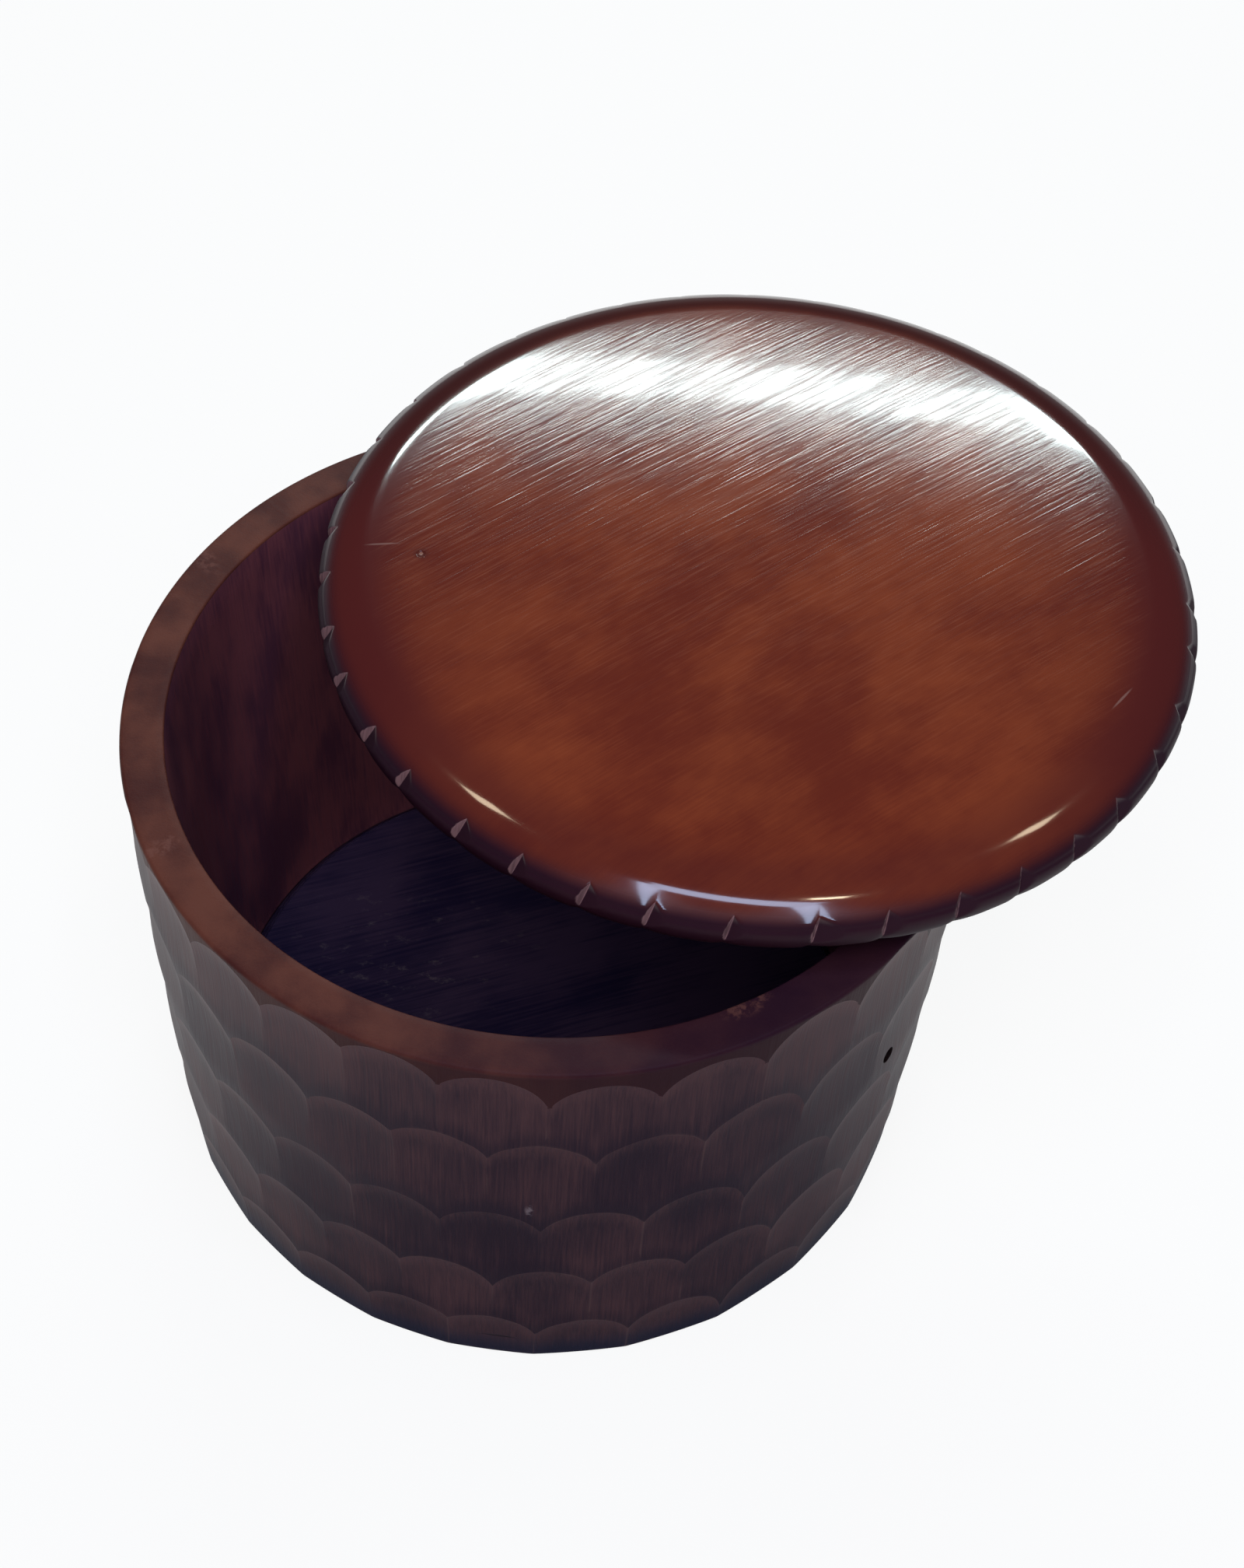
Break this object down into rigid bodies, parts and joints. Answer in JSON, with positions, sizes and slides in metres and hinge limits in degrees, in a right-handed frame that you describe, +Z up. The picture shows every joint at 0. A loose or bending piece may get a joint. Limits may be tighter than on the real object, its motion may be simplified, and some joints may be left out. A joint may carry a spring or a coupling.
{
  "type": "lidded storage jar",
  "caption": "Round turned wooden storage jar with a gouge-carved wall, a let-in base board and a domed lift-off lid with a nicked edge.",
  "frame": {"origin": "centre of the foot, on the jar's axis and on the surface it stands on", "axes": "+Z up along the jar's axis; -Y towards the viewer of the picture; +X to the viewer's right, roughly the way the lid is set over"},
  "size_m": [0.2255, 0.2111, 0.1398],
  "materials": {
    "carved_wood": "dark stained hardwood, dull satin over gouge cuts",
    "floor_wood": "very dark stained hardwood, dull, worn from use",
    "lid_wood": "red-brown stained hardwood, polished, fine diagonal scratches on the dome",
    "plug_wood": "red-brown stained hardwood, unpolished"
  },
  "bodies": {
    "jar": {"jar_wall": "carved_wood", "base_board": "floor_wood"},
    "lid": {"lid_panel": "lid_wood", "lid_plug": "plug_wood"}
  },
  "joints": [
    {"name": "lid_lift", "type": "slide", "parent": "jar", "child": "lid", "axis": [0, 0, 1], "range_m": [0, 0.1]}
  ]
}
